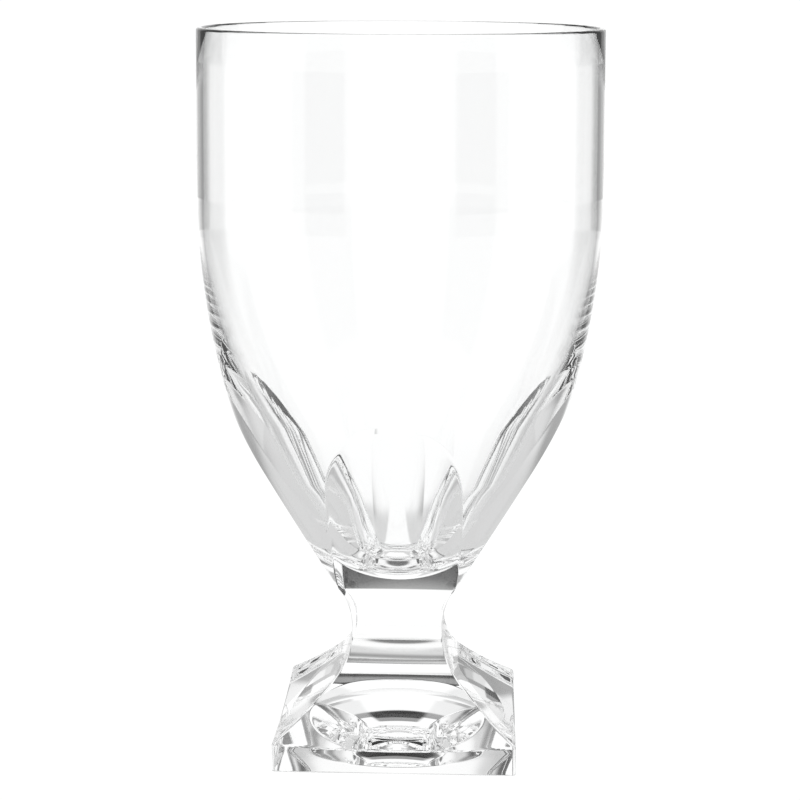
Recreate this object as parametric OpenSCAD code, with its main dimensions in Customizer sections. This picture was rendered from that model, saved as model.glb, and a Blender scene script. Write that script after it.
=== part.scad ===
// Stemmed drinking glass: round bowl, square stem and square foot.
// Four slightly hollow faces run from the edge of the foot up over the stem
// and end as arched panels on the round bowl.
// Millimetres. Origin on the table under the middle of the foot, +Z up, +X to the right.

/* [Overall] */
// Height from the table to the rim
total_height = 170; // [150:1:195]

/* [Bowl] */
// Radius of the round wall where it starts on the stem
base_radius = 19.3; // [19.3:0.02:21]
// Lean of the lowest part of the round wall, in degrees from upright
base_lean = 28; // [26.5:0.5:29.5]
// Height of that straight lowest part
base_rise = 28.45; // [26.5:0.01:30.5]
// Radius of the curve above it, seen from the side
hip_curve = 72; // [62:1:85]
// Lean at which that curve passes into the long curve of the side
side_lean = 16; // [14:0.5:18]
// Radius of the long curve of the side
side_curve = 181; // [165:1:205]
// How much narrower the rim is than the widest level
rim_inset = 0.28; // [0.1:0.02:1]
// Thickness of the wall at the rim
wall = 1.5; // [1.2:0.1:2]

/* [Bowl inside] */
// How far below the widest level the inside begins to close in
inside_drop = 4.5; // [3:0.1:7]
// Radius of the curve of the inside wall, seen from the side
inside_curve = 112; // [104:1:116]
// Lean of the straight part of the inside wall
inside_lean = 33; // [31.5:0.5:34]
// Thickness of the glass under the inside
bottom_thickness = 3.8; // [3:0.1:6]

/* [Hollow faces] */
// Distance from the middle of the glass to the line each face is hollowed about
hollow_distance = 260; // [220:5:320]
// Half the thickness of the stem at the middle of a face
stem_half = 10.47; // [9.9:0.01:10.55]
// Height of the upright part of the faces at the waist
waist_rise = 1.8; // [1:0.1:3]
// Radius of the bend from the waist into the panels
panel_bend = 20; // [19.5:0.5:22.5]
// Lean of the panels on the bowl
panel_lean = 31.3; // [30.7:0.1:32.3]

/* [Stem and foot] */
// Height of the seat between foot and stem, at the waist
foot_seat = 29.1; // [27:0.1:32]
// Height of the stem between its two seats
stem_rise = 10.9; // [9.5:0.1:11.4]
// Side of the square foot
foot_side = 56.6; // [52:0.2:62]
// Radius of the upper bend of the flare
flare_bend = 15; // [13.5:0.5:16.5]
// Lean at which the upper bend passes into the long curve
flare_lean = 44; // [41:0.5:47]
// Radius of the long lower curve of the flare
flare_curve = 121; // [105:1:140]
// Radius of the opening of the hollow underneath
hollow_radius = 21.5; // [17:0.5:24]
// Depth of the hollow underneath
hollow_depth = 3; // [2:0.1:4]

/* [Hidden] */
$fn = 96;
// Ends of the upright part at the waist, and the seat of the bowl
flare_start = foot_seat - waist_rise / 2;
spread_start = foot_seat + waist_rise / 2;
bowl_seat = foot_seat + stem_rise;
// Round wall from the seat upward: end of the straight part, of the curve and of the long curve
hip_z = bowl_seat + base_rise;
hip_r = base_radius + base_rise * tan(base_lean);
side_z = hip_z + hip_curve * (sin(base_lean) - sin(side_lean));
side_r = hip_r + hip_curve * (cos(side_lean) - cos(base_lean));
belly_height = side_z + side_curve * sin(side_lean);
belly_radius = side_r + side_curve * (1 - cos(side_lean));
// Rim
rim_radius = belly_radius - rim_inset;
lip = wall / 2;
lip_z = total_height - lip;
// Inside: start and end of the curve, then the round bottom that the straight part runs into
inside_r = belly_radius - wall;
inside_start = belly_height - inside_drop;
inside_bottom = bowl_seat + bottom_thickness;
bend_z = inside_start - inside_curve * sin(inside_lean);
bend_r = inside_r - inside_curve * (1 - cos(inside_lean));
bottom_room = bend_r - tan(inside_lean) * (bend_z - inside_bottom);
bottom_radius = bottom_room / (cos(inside_lean) - tan(inside_lean) * (1 - sin(inside_lean)));
bottom_r = bottom_radius * cos(inside_lean);
bottom_z = inside_bottom + bottom_radius * (1 - sin(inside_lean));
// Profile of one hollow face, measured outward from the line it is hollowed about
face_r = hollow_distance - stem_half;
panel_r = face_r - panel_bend * (1 - cos(panel_lean));
panel_z = spread_start + panel_bend * sin(panel_lean);
panel_end = belly_height;
panel_end_r = panel_r - tan(panel_lean) * (panel_end - panel_z);
flare_r = face_r - flare_bend * (1 - cos(flare_lean));
flare_z = flare_start - flare_bend * sin(flare_lean);
curve_r = flare_r - flare_curve * cos(flare_lean);
curve_z = flare_z + flare_curve * sin(flare_lean);
// The long curve of the flare runs on past the corner of the foot
flare_end_r = hollow_distance - foot_side / 2 - 3;
flare_end = acos((flare_end_r - curve_r) / flare_curve);
flare_end_z = curve_z - flare_curve * sin(flare_end);
cutter_back = hollow_distance - 2 * belly_radius;
// Half of the angle over which a face is hollowed
sweep = 13;
// Ball that makes the hollow underneath
ball = (hollow_radius * hollow_radius + hollow_depth * hollow_depth) / (2 * hollow_depth);

// Points along an arc, with its first end left out, and so many at its last end
function arc(centre_r, centre_z, radius, from, to, steps, left_out = 0) = [
    for (i = [1 : steps - left_out])
        let (a = from + (to - from) * i / steps)
            [centre_r + radius * cos(a), centre_z + radius * sin(a)]
];

// Half profile of the wall of the bowl: up the outside, over the rim, down the inside
module wall_profile() {
    polygon(concat(
        [[0, bowl_seat], [base_radius, bowl_seat], [hip_r, hip_z]],
        arc(side_r - hip_curve * cos(side_lean), side_z + hip_curve * sin(side_lean),
            hip_curve, -base_lean, -side_lean, 14),
        arc(belly_radius - side_curve, belly_height, side_curve, -side_lean, 0, 16),
        [[rim_radius, lip_z]],
        arc(rim_radius - lip, lip_z, lip, 0, 180, 12),
        [[inside_r, inside_start]],
        arc(inside_r - inside_curve, inside_start, inside_curve, 0, -inside_lean, 26),
        [[bottom_r, bottom_z]],
        arc(0, inside_bottom + bottom_radius, bottom_radius, -inside_lean, -90, 24, 1),
        [[0, inside_bottom]]
    ));
}

// What one hollow face takes away, from the edge of the foot up to the bowl
module face_profile() {
    polygon(concat(
        [[cutter_back, flare_end_z], [flare_end_r, flare_end_z]],
        arc(curve_r, curve_z, flare_curve, -flare_end, -flare_lean, 10),
        arc(face_r - flare_bend, flare_start, flare_bend, -flare_lean, 0, 18),
        [[face_r, spread_start]],
        arc(face_r - panel_bend, spread_start, panel_bend, 0, panel_lean, 14),
        [[panel_end_r, panel_end], [cutter_back, panel_end]]
    ));
}

// The four hollow faces
module faces() {
    for (turn = [0 : 90 : 270])
        rotate([0, 0, turn])
            translate([0, -hollow_distance, 0])
                rotate([0, 0, 90 - sweep])
                    rotate_extrude(angle = 2 * sweep, $fn = 720)
                        face_profile();
}

// Bowl: thin round wall with the four panels cut into its lower sides
module bowl() {
    color([0.93, 0.95, 0.95])
        difference() {
            rotate_extrude()
                wall_profile();
            faces();
        }
}

// Stem: short square block with hollow sides, widening upward
module stem() {
    color([0.9, 0.93, 0.94])
        difference() {
            translate([-foot_side / 2, -foot_side / 2, foot_seat])
                cube([foot_side, foot_side, bowl_seat - foot_seat]);
            faces();
        }
}

// Foot: square flare with an upright edge, hollow underneath
module foot() {
    color([0.87, 0.91, 0.92])
        difference() {
            translate([-foot_side / 2, -foot_side / 2, 0])
                cube([foot_side, foot_side, foot_seat]);
            faces();
            translate([0, 0, hollow_depth - ball])
                sphere(r = ball);
        }
}

bowl();
stem();
foot();
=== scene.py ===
from math import cos, log, pi, radians, sin, sqrt, tan

import bpy
import numpy as np
from mathutils import Matrix, Vector


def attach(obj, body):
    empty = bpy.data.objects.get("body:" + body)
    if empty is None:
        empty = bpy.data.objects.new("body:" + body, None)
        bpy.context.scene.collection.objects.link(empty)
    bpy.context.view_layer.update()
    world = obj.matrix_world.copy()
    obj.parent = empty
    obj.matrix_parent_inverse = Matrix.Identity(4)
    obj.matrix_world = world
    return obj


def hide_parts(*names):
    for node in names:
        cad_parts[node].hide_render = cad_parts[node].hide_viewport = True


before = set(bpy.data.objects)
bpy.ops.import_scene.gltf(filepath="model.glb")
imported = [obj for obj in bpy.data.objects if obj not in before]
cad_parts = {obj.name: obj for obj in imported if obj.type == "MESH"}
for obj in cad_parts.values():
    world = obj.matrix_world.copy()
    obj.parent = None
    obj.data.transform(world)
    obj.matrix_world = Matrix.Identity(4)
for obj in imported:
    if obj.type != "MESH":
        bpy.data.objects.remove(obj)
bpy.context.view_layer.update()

scene = bpy.context.scene

# Stemmed glass in clear crystal, as three closed meshes that stand for the three solids of the part:
# a round bowl with four hollow panels low on its sides, a square stem and a square foot

# Sizes as in the part's source, in millimetres, with angles in radians
TOTAL_HEIGHT = 170.0
BASE_RADIUS = 19.3
BASE_LEAN = radians(28)
BASE_RISE = 28.45
HIP_CURVE = 72.0
SIDE_LEAN = radians(16)
SIDE_CURVE = 181.0
RIM_INSET = 0.28
WALL = 1.5
INSIDE_DROP = 4.5
INSIDE_CURVE = 112.0
INSIDE_LEAN = radians(33)
BOTTOM_THICKNESS = 3.8
HOLLOW_DISTANCE = 260.0
STEM_HALF = 10.47
WAIST_RISE = 1.8
PANEL_BEND = 20.0
PANEL_LEAN = radians(31.3)
FOOT_SEAT = 29.1
STEM_RISE = 10.9
FOOT_SIDE = 56.6
FLARE_BEND = 15.0
FLARE_LEAN = radians(44)
FLARE_CURVE = 121.0
HOLLOW_RADIUS = 21.5
HOLLOW_DEPTH = 3.0

# Roundings that only the finished glass has, in millimetres
ARRIS = 0.25
STEM_CORNER = 0.35
FOOT_CORNER = 0.8
FOOT_EDGE = 0.45
HOLLOW_LIP = 0.5
# The corners of the stem sharpen to the least rounding over this height below the bowl
CORNER_RUN_OUT = 5.0
LEAST_CORNER = 0.02

# Heights and radii that follow from the sizes
FLARE_START = FOOT_SEAT - WAIST_RISE / 2
FLARE_CHANGE = FLARE_START - FLARE_BEND * sin(FLARE_LEAN)
SPREAD_START = FOOT_SEAT + WAIST_RISE / 2
PANEL_START = SPREAD_START + PANEL_BEND * sin(PANEL_LEAN)
BOWL_SEAT = FOOT_SEAT + STEM_RISE
HIP_Z = BOWL_SEAT + BASE_RISE
HIP_RADIUS = BASE_RADIUS + BASE_RISE * tan(BASE_LEAN)
SIDE_Z = HIP_Z + HIP_CURVE * (sin(BASE_LEAN) - sin(SIDE_LEAN))
SIDE_RADIUS = HIP_RADIUS + HIP_CURVE * (cos(SIDE_LEAN) - cos(BASE_LEAN))
BELLY_Z = SIDE_Z + SIDE_CURVE * sin(SIDE_LEAN)
BELLY_RADIUS = SIDE_RADIUS + SIDE_CURVE * (1 - cos(SIDE_LEAN))
RIM_RADIUS = BELLY_RADIUS - RIM_INSET
LIP = WALL / 2
LIP_Z = TOTAL_HEIGHT - LIP
FOOT_HALF = FOOT_SIDE / 2

# Points of the meshes in one eighth of a ring
PANEL_POINTS = 24
TONGUE_POINTS = 50
FACE_POINTS = 44
CORNER_POINTS = 6

MM_PER_METRE = 1000.0
TINY = 1e-6
# Points of a mesh that lie this close, in metres, are one
SAME_PLACE = 1e-8
# Faces that meet at more than this angle show an edge
SHARP = radians(10)
# Places of the two materials in each piece
CRYSTAL = 0
SEAT = 1


# Steps and curves

def after(start, end, steps):
    """Values in equal steps from start to end, without the start."""
    return list(np.linspace(start, end, steps + 1)[1:])


def between(start, end, share):
    """Value at a share of the way from start to end."""
    return start + share * (end - start)


def rounded(start, corner, end, share):
    """Value along a curve that leaves start towards a corner and turns to the end."""
    return (1 - share) ** 2 * start + 2 * share * (1 - share) * corner + share ** 2 * end


def bisect(measure, low, high):
    """Where a measure changes its sign between two values."""
    for _ in range(60):
        middle = (low + high) / 2
        if (measure(low) < 0) == (measure(middle) < 0):
            low = middle
        else:
            high = middle
    return (low + high) / 2


def eased(one, other, ease):
    """The smaller of two sizes, rounded off where they come within ease of each other."""
    return min(one, other) - max(ease - abs(one - other), 0.0) ** 2 / (4 * ease)


# Profiles by height

def round_radius(z):
    """Radius of the round wall of the bowl."""
    if z < HIP_Z:
        return BASE_RADIUS + (z - BOWL_SEAT) * tan(BASE_LEAN)
    if z < SIDE_Z:
        centre_r = SIDE_RADIUS - HIP_CURVE * cos(SIDE_LEAN)
        centre_z = SIDE_Z + HIP_CURVE * sin(SIDE_LEAN)
        return centre_r + sqrt(HIP_CURVE ** 2 - (centre_z - z) ** 2)
    if z < BELLY_Z:
        return BELLY_RADIUS - SIDE_CURVE + sqrt(SIDE_CURVE ** 2 - (BELLY_Z - z) ** 2)
    return BELLY_RADIUS - RIM_INSET * (z - BELLY_Z) / (LIP_Z - BELLY_Z)


def face_half(z):
    """Distance from the axis to the middle of a hollow face."""
    if z <= FLARE_CHANGE:
        change_r = STEM_HALF + FLARE_BEND * (1 - cos(FLARE_LEAN))
        centre_r = change_r + FLARE_CURVE * cos(FLARE_LEAN)
        centre_z = FLARE_CHANGE + FLARE_CURVE * sin(FLARE_LEAN)
        return centre_r - sqrt(FLARE_CURVE ** 2 - (centre_z - z) ** 2)
    if z < FLARE_START:
        return STEM_HALF + FLARE_BEND - sqrt(FLARE_BEND ** 2 - (FLARE_START - z) ** 2)
    if z <= SPREAD_START:
        return STEM_HALF
    if z < PANEL_START:
        return STEM_HALF + PANEL_BEND - sqrt(PANEL_BEND ** 2 - (z - SPREAD_START) ** 2)
    return STEM_HALF + PANEL_BEND * (1 - cos(PANEL_LEAN)) + (z - PANEL_START) * tan(PANEL_LEAN)


def face_at(x, z):
    """How far outward a hollow face lies at x to the side of its middle."""
    return HOLLOW_DISTANCE - sqrt((HOLLOW_DISTANCE - face_half(z)) ** 2 - x * x)


def corner_half(z):
    """Half width at the sharp corner where two hollow faces would meet."""
    radius = HOLLOW_DISTANCE - face_half(z)
    return (HOLLOW_DISTANCE - sqrt(2 * radius * radius - HOLLOW_DISTANCE ** 2)) / 2


# Meshes from rings of points, each ring made of eight equal parts from the middle of a face to a corner

def full_ring(part, heights):
    """Ring from one part, whose points are (to the side, outward), at one height or one for each point."""
    if np.isscalar(heights):
        heights = [heights] * len(part)
    quarter = list(part) + [(y, x) for x, y in reversed(part[:-1])]
    quarter_heights = list(heights) + list(reversed(heights[:-1]))
    ring = []
    for cosine, sine in ((1, 0), (0, 1), (-1, 0), (0, -1)):
        for (side, outward), z in zip(quarter[:-1], quarter_heights[:-1]):
            ring.append((cosine * outward - sine * side, sine * outward + cosine * side, z))
    return np.array(ring)


def make(name, rings, materials, ends, end_materials):
    """Closed mesh through the rings in order, with a fan at each end to a point on the axis."""
    count = len(rings[0])
    here = np.arange(count)
    beside = (here + 1) % count
    last = (len(rings) - 1) * count
    starts = np.arange(0, last, count)[:, None]
    corners = [starts + here, starts + beside, starts + count + beside, starts + count + here]
    quads = np.stack(corners, 2).reshape(-1, 4)
    low_point = last + count
    low_fan = np.stack([np.full(count, low_point), beside, here], 1)
    high_fan = np.stack([np.full(count, low_point + 1), last + here, last + beside], 1)
    end_points = [(0.0, 0.0, z) for z in ends]
    points = np.concatenate(rings + [end_points]) / MM_PER_METRE

    # Points that fall together become one, and the faces between them close up
    places = np.round(points / SAME_PLACE).astype(np.int64)
    _, first, merged = np.unique(places, axis=0, return_index=True, return_inverse=True)
    merged = merged.reshape(-1)
    quads = merged[quads]
    closed_below = quads[:, 0] == quads[:, 1]
    closed_above = quads[:, 2] == quads[:, 3]
    sides = [
        quads[~closed_below & ~closed_above],
        quads[~closed_below & closed_above][:, :3],
        quads[closed_below & ~closed_above][:, [0, 2, 3]],
    ]
    fans = [fan[fan[:, 1] != fan[:, 2]] for fan in (merged[low_fan], merged[high_fan])]
    faces = [face for group in sides + fans for face in group.tolist()]
    face_materials = [CRYSTAL] * sum(map(len, sides))
    for fan, material in zip(fans, end_materials):
        face_materials += [material] * len(fan)

    mesh = bpy.data.meshes.new(name)
    mesh.from_pydata(points[first].tolist(), [], faces)
    for material in materials:
        mesh.materials.append(material)
    mesh.polygons.foreach_set("material_index", face_materials)
    mesh.polygons.foreach_set("use_smooth", [True] * len(faces))
    mesh.update()
    mesh.set_sharp_from_angle(angle=SHARP)
    mesh.validate()
    obj = bpy.data.objects.new(name, mesh)
    scene.collection.objects.link(obj)
    return obj


# Materials

def blank_material(name):
    """Material with nothing in its tree but an output, returned with the tree and the output."""
    material = bpy.data.materials.new(name)
    material.use_nodes = True
    tree = material.node_tree
    tree.nodes.clear()
    return material, tree, tree.nodes.new("ShaderNodeOutputMaterial")


def crystal(name, wave_height):
    """Clear crystal whose surface has faint waves, of a height in metres."""
    material, tree, output = blank_material(name)
    surface = tree.nodes.new("ShaderNodeBsdfPrincipled")
    surface.inputs["Base Color"].default_value = (0.993, 0.996, 0.996, 1)
    surface.inputs["Transmission Weight"].default_value = 1.0
    surface.inputs["Roughness"].default_value = 0.0
    surface.inputs["IOR"].default_value = 1.54
    place = tree.nodes.new("ShaderNodeTexCoord")
    waves = tree.nodes.new("ShaderNodeTexNoise")
    waves.inputs["Scale"].default_value = 22.0
    waves.inputs["Detail"].default_value = 1.0
    bump = tree.nodes.new("ShaderNodeBump")
    bump.inputs["Strength"].default_value = 1.0
    bump.inputs["Distance"].default_value = wave_height
    tree.links.new(place.outputs["Object"], waves.inputs["Vector"])
    tree.links.new(waves.outputs["Fac"], bump.inputs["Height"])
    tree.links.new(bump.outputs["Normal"], surface.inputs["Normal"])
    tree.links.new(surface.outputs["BSDF"], output.inputs["Surface"])
    return material


def fused(name):
    """Seat where two pieces of glass are fused, so that it can't be seen."""
    material, tree, output = blank_material(name)
    clear = tree.nodes.new("ShaderNodeBsdfTransparent")
    tree.links.new(clear.outputs["BSDF"], output.inputs["Surface"])
    return material


def glow(name):
    """Light as strong as the points of the mesh say."""
    material, tree, output = blank_material(name)
    emission = tree.nodes.new("ShaderNodeEmission")
    emission.inputs["Color"].default_value = (1, 1, 1, 1)
    strength = tree.nodes.new("ShaderNodeAttribute")
    strength.attribute_name = "light"
    tree.links.new(strength.outputs["Fac"], emission.inputs["Strength"])
    tree.links.new(emission.outputs["Emission"], output.inputs["Surface"])
    return material


bowl_crystal = crystal("bowl_crystal", 0.000004)
stem_crystal = crystal("stem_crystal", 0.000002)
foot_crystal = crystal("foot_crystal", 0.000002)
fused_seat = fused("fused_seat")


# Bowl: up the outside, over the rim and down the inside

# Where the round wall first shows between two panels, and where a panel ends at the top of its arch
tongue_start = bisect(lambda z: corner_half(z) * sqrt(2) - round_radius(z), BOWL_SEAT, HIP_Z)
arch_top = bisect(lambda z: face_half(z) - round_radius(z), HIP_Z, BELLY_Z)
# Arches that are wider than this, in radians, have points drawn fully towards their arris
WIDE_ARCH = 0.2


def bowl_part(z):
    """One part of the outside of the bowl: half a panel, then half a tongue of the round wall."""
    wall = round_radius(z)
    middle = face_half(z)

    def face(turn):
        """Distance from the axis to the panel, at a turn from its middle."""
        depth = (HOLLOW_DISTANCE - middle) ** 2 - (HOLLOW_DISTANCE * sin(turn)) ** 2
        return HOLLOW_DISTANCE * cos(turn) - sqrt(max(depth, 0.0))

    if middle >= wall - TINY:
        arris = 0.0
    elif corner_half(z) * sqrt(2) <= wall:
        arris = pi / 4
    else:
        arris = bisect(lambda turn: face(turn) - wall, 0.0, pi / 4)

    # Points lie closer together towards the arris
    drawn = min(1.0, arris / WIDE_ARCH)
    turns = [arris * sin(pi / 2 * k / PANEL_POINTS) for k in range(PANEL_POINTS + 1)]
    for k in range(1, TONGUE_POINTS + 1):
        share = k / TONGUE_POINTS
        turns.append(between(arris, pi / 4, between(share, 1 - cos(pi / 2 * share), drawn)))

    # The arrises are sharp at the seat, to meet the stem, and rounded from the start of the tongues
    ease = max(ARRIS * min(1.0, (z - BOWL_SEAT) / (tongue_start - BOWL_SEAT)), TINY)
    part = []
    for turn in turns:
        reach = face(turn)
        if turn > pi / 8:
            reach = eased(reach, face(pi / 2 - turn), ease)
        reach = eased(wall, reach, ease)
        part.append((reach * sin(turn), reach * cos(turn)))
    return part


rim_part = bowl_part(LIP_Z)


def round_ring(radius, z):
    """Round ring with its points at the same turns as those of the rim."""
    return full_ring([(x * radius / RIM_RADIUS, y * radius / RIM_RADIUS) for x, y in rim_part], z)


levels = [BOWL_SEAT]
levels += after(BOWL_SEAT, PANEL_START, 7)
levels += after(PANEL_START, tongue_start, 5)
levels += after(tongue_start, HIP_Z, 24)
levels += [between(arch_top, HIP_Z, (1 - share) ** 2) for share in after(0, 1, 43)]
levels += after(arch_top, BELLY_Z, 36)
levels += after(BELLY_Z, LIP_Z, 5)
rings = [full_ring(bowl_part(z), z) for z in levels]

for turn in after(0, pi, 12):
    rings.append(round_ring(RIM_RADIUS - LIP + LIP * cos(turn), LIP_Z + LIP * sin(turn)))

inside_r = BELLY_RADIUS - WALL
inside_z = BELLY_Z - INSIDE_DROP
for share in after(0, 1, 3):
    rings.append(round_ring(between(RIM_RADIUS - WALL, inside_r, share), between(LIP_Z, inside_z, share)))
for lean in after(0, INSIDE_LEAN, 35):
    rings.append(round_ring(inside_r - INSIDE_CURVE * (1 - cos(lean)), inside_z - INSIDE_CURVE * sin(lean)))

# The straight part of the inside runs from the end of the curve to the ball that makes the bottom
bend_r = inside_r - INSIDE_CURVE * (1 - cos(INSIDE_LEAN))
bend_z = inside_z - INSIDE_CURVE * sin(INSIDE_LEAN)
bottom_z = BOWL_SEAT + BOTTOM_THICKNESS
bottom_room = bend_r - tan(INSIDE_LEAN) * (bend_z - bottom_z)
bottom_ball = bottom_room / (cos(INSIDE_LEAN) - tan(INSIDE_LEAN) * (1 - sin(INSIDE_LEAN)))
ball_r = bottom_ball * cos(INSIDE_LEAN)
ball_z = bottom_z + bottom_ball * (1 - sin(INSIDE_LEAN))
for share in after(0, 1, 4):
    rings.append(round_ring(between(bend_r, ball_r, share), between(bend_z, ball_z, share)))
for lean in after(INSIDE_LEAN, pi / 2, 21)[:-1]:
    rings.append(round_ring(bottom_ball * cos(lean), bottom_z + bottom_ball * (1 - sin(lean))))
bowl = make("bowl_piece", rings, [bowl_crystal, fused_seat], (BOWL_SEAT, bottom_z), (SEAT, CRYSTAL))


# Stem: square sections with hollow sides and rounded corners

def square_part(z, corner):
    """One part of a square section with hollow sides, its corner rounded by a radius."""
    radius = HOLLOW_DISTANCE - face_half(z)
    centre = (HOLLOW_DISTANCE - sqrt(2 * (radius + corner) ** 2 - HOLLOW_DISTANCE ** 2)) / 2
    face_end = radius * centre / (radius + corner)
    part = []
    for k in range(FACE_POINTS + 1):
        x = face_end * sin(pi / 2 * k / FACE_POINTS)
        part.append((x, HOLLOW_DISTANCE - sqrt(radius * radius - x * x)))
    start = np.arctan2(part[-1][1] - centre, face_end - centre)
    for k in range(1, CORNER_POINTS + 1):
        turn = between(start, pi / 4, k / CORNER_POINTS)
        part.append((centre + corner * cos(turn), centre + corner * sin(turn)))
    return part


def stem_corner(z):
    """Rounding of the corners of the stem."""
    return max(LEAST_CORNER, STEM_CORNER * min(1.0, (BOWL_SEAT - z) / CORNER_RUN_OUT))


levels = [FOOT_SEAT]
levels += after(FOOT_SEAT, SPREAD_START, 3)
levels += after(SPREAD_START, BOWL_SEAT, 39)
rings = [full_ring(square_part(z, stem_corner(z)), z) for z in levels]
stem = make("stem_piece", rings, [stem_crystal, fused_seat], (FOOT_SEAT, BOWL_SEAT), (SEAT, SEAT))


# Foot: out from the hollow underneath, up its edge and up the flare

def straight_part(half, corner):
    """One part of a plain square with rounded corners, its points placed as on the flare."""
    straight = half - corner
    part = [(straight * sin(pi / 2 * k / FACE_POINTS), half) for k in range(FACE_POINTS + 1)]
    for k in range(1, CORNER_POINTS + 1):
        turn = pi / 2 - pi / 4 * k / CORNER_POINTS
        part.append((straight + corner * cos(turn), straight + corner * sin(turn)))
    return part


def scaled(part, factor):
    """One part of a ring, made larger or smaller about the axis."""
    return [(x * factor, y * factor) for x, y in part]


# The upright edge ends where the hollow faces leave it, highest at its corners
EDGE_LOWEST = 0.5
EDGE_HIGHEST = 15.0
corner_top = bisect(lambda z: corner_half(z) - FOOT_HALF, EDGE_LOWEST, EDGE_HIGHEST)


def edge_top(x):
    """Height of the upright edge at x to the side of its middle."""
    return bisect(lambda z: face_at(x, z) - FOOT_HALF, EDGE_LOWEST, EDGE_HIGHEST)


edge_part = straight_part(FOOT_HALF, FOOT_CORNER)
edge_tops = [edge_top(x) for x, _ in edge_part[:FACE_POINTS + 1]] + [corner_top] * CORNER_POINTS
edge_turns = [np.arctan2(x, y) for x, y in edge_part]


def disc_part(radius):
    """One part of a round ring, with its points at the same turns as those of the edge."""
    return [(radius * sin(turn), radius * cos(turn)) for turn in edge_turns]


rings = []
hollow_ball = (HOLLOW_RADIUS ** 2 + HOLLOW_DEPTH ** 2) / (2 * HOLLOW_DEPTH)
ball_centre = HOLLOW_DEPTH - hollow_ball
lip_start = HOLLOW_RADIUS - HOLLOW_LIP
lip_end = HOLLOW_RADIUS + HOLLOW_LIP
lip_lean = np.arcsin(lip_start / hollow_ball)
lip_z = ball_centre + hollow_ball * cos(lip_lean)
for lean in after(0, lip_lean, 49):
    rings.append(full_ring(disc_part(hollow_ball * sin(lean)), ball_centre + hollow_ball * cos(lean)))
for share in after(0, 1, 5):
    radius = rounded(lip_start, HOLLOW_RADIUS, lip_end, share)
    rings.append(full_ring(disc_part(radius), rounded(lip_z, 0.0, 0.0, share)))

inner_part = disc_part(lip_end)
outer_part = scaled(edge_part, (FOOT_HALF - FOOT_EDGE) / FOOT_HALF)
for share in after(0, 1, 9):
    part = []
    for (inner_x, inner_y), (outer_x, outer_y) in zip(inner_part, outer_part):
        part.append((between(inner_x, outer_x, share), between(inner_y, outer_y, share)))
    rings.append(full_ring(part, 0.0))
for share in after(0, 1, 14):
    half = rounded(FOOT_HALF - FOOT_EDGE, FOOT_HALF, FOOT_HALF, share)
    rings.append(full_ring(scaled(edge_part, half / FOOT_HALF), rounded(0.0, 0.0, FOOT_EDGE, share)))
for share in after(0, 1, 7):
    rings.append(full_ring(edge_part, [between(FOOT_EDGE, top - FOOT_EDGE, share) for top in edge_tops]))

# Rings of the flare lie closer together near the edge, and follow its rise to the corners less and less
FLARE_SPACING = 1.4
RISE_FADE = 3
# The corners narrow from the foot's rounding to the stem's over the first part of the way up
CORNER_FADE = 1.6


def flare_part(share):
    """Points of the flare at a share of the way from its edge to the waist, and their heights."""
    corner_z = between(corner_top, FOOT_SEAT, share)
    corner = between(FOOT_CORNER, STEM_CORNER, min(1.0, share * CORNER_FADE))
    part = square_part(corner_z, corner)
    heights = [corner_z] * len(part)
    for k in range(FACE_POINTS + 1):
        x = part[k][0]
        heights[k] += (edge_tops[k] - corner_top) * (1 - share) ** RISE_FADE
        part[k] = (x, face_at(x, heights[k]))
    return part, heights


def clearance(part, heights):
    """Least distance of a ring of the flare from the sharp edge that the rounding takes away."""
    gaps = []
    for (_, y), z, (_, sharp_y), sharp_z in zip(part, heights, sharp_part, sharp_heights):
        gaps.append(abs(y - sharp_y) + abs(z - sharp_z))
    return min(gaps)


sharp_part, sharp_heights = flare_part(0.0)
flare = [flare_part(share ** FLARE_SPACING) for share in after(0, 1, 69)]
flare = [level for level in flare if clearance(*level) >= FOOT_EDGE]

# Rounded upper edge between the upright side and the first ring of the flare
first_part, first_heights = flare[0]
for share in after(0, 1, 5)[:-1]:
    part = []
    heights = []
    for k, (sharp_x, sharp_y) in enumerate(sharp_part):
        x = rounded(edge_part[k][0], sharp_x, first_part[k][0], share)
        y = rounded(edge_part[k][1], sharp_y, first_part[k][1], share)
        part.append((x, y))
        sharp_z = sharp_heights[k]
        heights.append(rounded(sharp_z - FOOT_EDGE, sharp_z, first_heights[k], share))
    rings.append(full_ring(part, heights))
rings += [full_ring(part, heights) for part, heights in flare]
foot = make("foot_piece", rings, [foot_crystal, fused_seat], (HOLLOW_DEPTH, FOOT_SEAT), (CRYSTAL, SEAT))

for obj, node in ((bowl, "bowl"), (stem, "stem"), (foot, "foot")):
    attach(obj, "root")
    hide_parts(node)


# Studio: a plain white floor that only the camera sees, and a table and a tent that only the glass gathers

# The studio and the camera stand turned by this much about the glass
YAW = radians(2.3)
spin = Matrix.Rotation(YAW, 3, "Z")
# Brightness of what is white, and the reach in metres of the table and the tent
WHITE = 1.05
REACH = 1.2
# Heights of the sheets, in metres, just clear of the foot and of each other
NEAR_Z = -0.0004
FAR_Z = -0.0008
FLOOR_Z = -0.0012


def soft(value, start, end, edge):
    """Share of a soft-edged span: one inside it, nothing outside."""
    return (np.tanh((value - start) / edge) - np.tanh((value - end) / edge)) / 2


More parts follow.
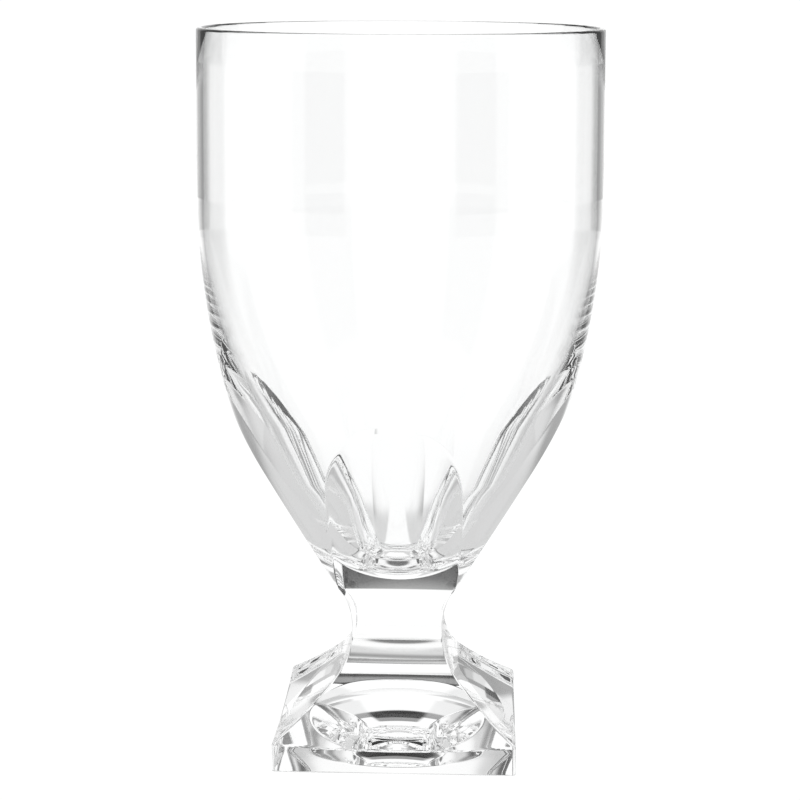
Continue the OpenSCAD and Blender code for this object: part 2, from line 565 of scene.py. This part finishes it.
def sheet(name, x, y, z, light, for_camera=False):
    """Glowing sheet over a grid of points, for the camera or for the glass."""
    rows, columns = x.shape
    points = np.stack([x, y, z], 2).reshape(-1, 3) @ np.array(spin).T
    start = (np.arange(rows - 1)[:, None] * columns + np.arange(columns - 1)).ravel()
    faces = np.stack([start, start + 1, start + columns + 1, start + columns], 1)
    mesh = bpy.data.meshes.new(name)
    mesh.from_pydata(points.tolist(), [], faces.tolist())
    strength = mesh.attributes.new("light", "FLOAT", "POINT")
    strength.data.foreach_set("value", light.ravel().astype(np.float32))
    mesh.materials.append(glow(name))
    obj = bpy.data.objects.new(name, mesh)
    scene.collection.objects.link(obj)
    if for_camera:
        obj.visible_diffuse = False
        obj.visible_glossy = False
        obj.visible_transmission = False
        obj.visible_shadow = False
    else:
        obj.visible_camera = False


FLOOR_HALF = 15.0
x, y = np.meshgrid((-FLOOR_HALF, FLOOR_HALF), (-FLOOR_HALF, FLOOR_HALF))
sheet("floor", x, y, np.full(x.shape, FLOOR_Z), np.full(x.shape, WHITE), for_camera=True)

# Table: spans are start, end and softness, in millimetres, and in degrees from straight behind.
# It has a painted shadow of the glass, grey round the foot, is darker to both sides behind it, and white
# straight behind it
FAR_AWAY = 9000
PAINTED_SHADOW = 0.38
PAINTED_SHADOW_AWAY = (-9, 125, 18)
DARK = 0.64
DARK_TURN = (30, 66, 5)
DARK_AWAY = (log(120), log(FAR_AWAY), 0.12)
WHITE_SIDE = (-9, 24, 1.5)
WHITE_BACK = (FOOT_HALF + 0.7, FAR_AWAY, 0.8)


def table_light(x, y):
    """Brightness of the table, with the painted shadow round the foot, at places in millimetres."""
    away = np.hypot(x, y)
    turn = np.degrees(np.arctan2(abs(x), y))
    # Painted shadow of the glass: the table is grey round the foot
    light = WHITE - PAINTED_SHADOW * soft(away, *PAINTED_SHADOW_AWAY)
    light -= DARK * soft(turn, *DARK_TURN) * soft(np.log(away + 1), *DARK_AWAY)
    return light + (WHITE - light) * soft(abs(x), *WHITE_SIDE) * soft(y, *WHITE_BACK)


# Under the foot: shade along its edge, less of it at the middle of the back, light under the hollow,
# and shade under the middle
EDGE_SHADE = 0.6
EDGE_SPAN = (25, FOOT_HALF, 0.8)
BACK_LESS = 0.2
BACK_SPAN = (22, 99, 1.5)
BACK_SIDE = (-14, 14, 2)
MIDDLE_LIGHT = 0.15
MIDDLE_SPAN = (-9, 11, 1.5)
HOLLOW_LIGHT = 1.0
HOLLOW_SPAN = (11, HOLLOW_RADIUS, 1.5)


def near_light(x, y):
    """Brightness of the table close to the foot, at places in millimetres."""
    away = np.hypot(x, y)
    square = np.maximum(abs(x), abs(y))
    shade = EDGE_SHADE - BACK_LESS * soft(y, *BACK_SPAN) * soft(x, *BACK_SIDE)
    light = table_light(x, y) - shade * soft(square, *EDGE_SPAN)
    under_middle = (MIDDLE_LIGHT - light) * soft(away, *MIDDLE_SPAN)
    under_hollow = (HOLLOW_LIGHT - light) * soft(away, *HOLLOW_SPAN)
    return light + under_middle + under_hollow


# One point for each millimetre near the foot, and one for each degree on the rings further out
NEAR_HALF = 75
FAR_START = 0.05
FAR_RINGS = 90
WHOLE_DEGREES = 361
millimetres = np.linspace(-NEAR_HALF, NEAR_HALF, 2 * NEAR_HALF + 1)
x, y = np.meshgrid(millimetres, millimetres)
sheet("table_near", x / MM_PER_METRE, y / MM_PER_METRE, np.full(x.shape, NEAR_Z), near_light(x, y))

turn, away = np.meshgrid(np.linspace(-pi, pi, WHOLE_DEGREES), np.geomspace(FAR_START, REACH, FAR_RINGS))
x, y = away * np.sin(turn), away * np.cos(turn)
far_light = table_light(x * MM_PER_METRE, y * MM_PER_METRE)
sheet("table_far", x, y, np.full(x.shape, FAR_Z), far_light)

# Zones of the tent: degrees to either side from straight behind, degrees up, and brightness
TENT_ZONES = (
    ((-9, 15.5), (-9, 3), 1.07),
    ((15.5, 20), (-9, 3), 0.7),
    ((20, 30), (-9, 3), 0.45),
    ((30, 45), (-9, 3), 0.3),
    ((45, 65), (-9, 3), 0.85),
    ((-9, 13), (3, 26.2), 1.07),
    ((13, 24), (3, 26), 0.88),
    ((24, 32), (3, 26), 0.6),
    ((32, 65), (3, 26), 0.25),
    ((-9, 13), (26.2, 40), 0.0),
    ((-9, 13), (40, 49.5), 0.3),
    ((13, 65), (26, 36), 0.34),
    ((118, 150), (-9, 30), 0.35),
)
# Softness of the zones' edges in degrees, where the tent starts and ends in degrees up, its rings,
# and the height of its middle in metres
TURN_EDGE = 0.8
RISE_EDGE = 0.6
TENT_START = -3
TENT_END = 90
TENT_RINGS = 125
TENT_MIDDLE = 0.06

turns = np.linspace(-180, 180, WHOLE_DEGREES)
turn, rise = np.meshgrid(turns, np.linspace(TENT_START, TENT_END, TENT_RINGS))
light = np.full(turn.shape, WHITE)
for (turn_start, turn_end), (rise_start, rise_end), strength in TENT_ZONES:
    across = soft(abs(turn), turn_start, turn_end, TURN_EDGE)
    light += (strength - WHITE) * across * soft(rise, rise_start, rise_end, RISE_EDGE)
turn = np.radians(turn)
rise = np.radians(rise)
level = REACH * np.cos(rise)
sheet("tent", level * np.sin(turn), level * np.cos(turn), TENT_MIDDLE + REACH * np.sin(rise), light)

world = bpy.data.worlds.new("studio")
world.use_nodes = True
background = world.node_tree.nodes["Background"]
background.inputs["Color"].default_value = (0.98, 0.99, 1, 1)
background.inputs["Strength"].default_value = 1.0
scene.world = world

# Camera fitted to the rim, the outline and the foot's corners in the photo: metres, and pixels of the photo
PITCH = radians(11.659)
ROLL = radians(0.2)
CAMERA_PLACE = (0.0001, -0.50334, 0.18668)
SENSOR = 36.0
FOCAL_PIXELS = 2169.4
PHOTO_PIXELS = 800.0

camera_data = bpy.data.cameras.new("camera")
camera_data.sensor_width = SENSOR
camera_data.lens = SENSOR * FOCAL_PIXELS / PHOTO_PIXELS
camera_data.clip_start = 0.01
camera_data.clip_end = 60.0
camera = bpy.data.objects.new("camera", camera_data)
scene.collection.objects.link(camera)
look = spin @ Matrix.Rotation(pi / 2 - PITCH, 3, "X") @ Matrix.Rotation(ROLL, 3, "Z")
camera.location = spin @ Vector(CAMERA_PLACE)
camera.rotation_euler = look.to_euler()
scene.camera = camera

# Light passes many surfaces in thick glass before it leaves
scene.cycles.max_bounces = 48
scene.cycles.transmission_bounces = 48
scene.cycles.glossy_bounces = 24
scene.cycles.transparent_max_bounces = 40
scene.view_settings.view_transform = "Standard"
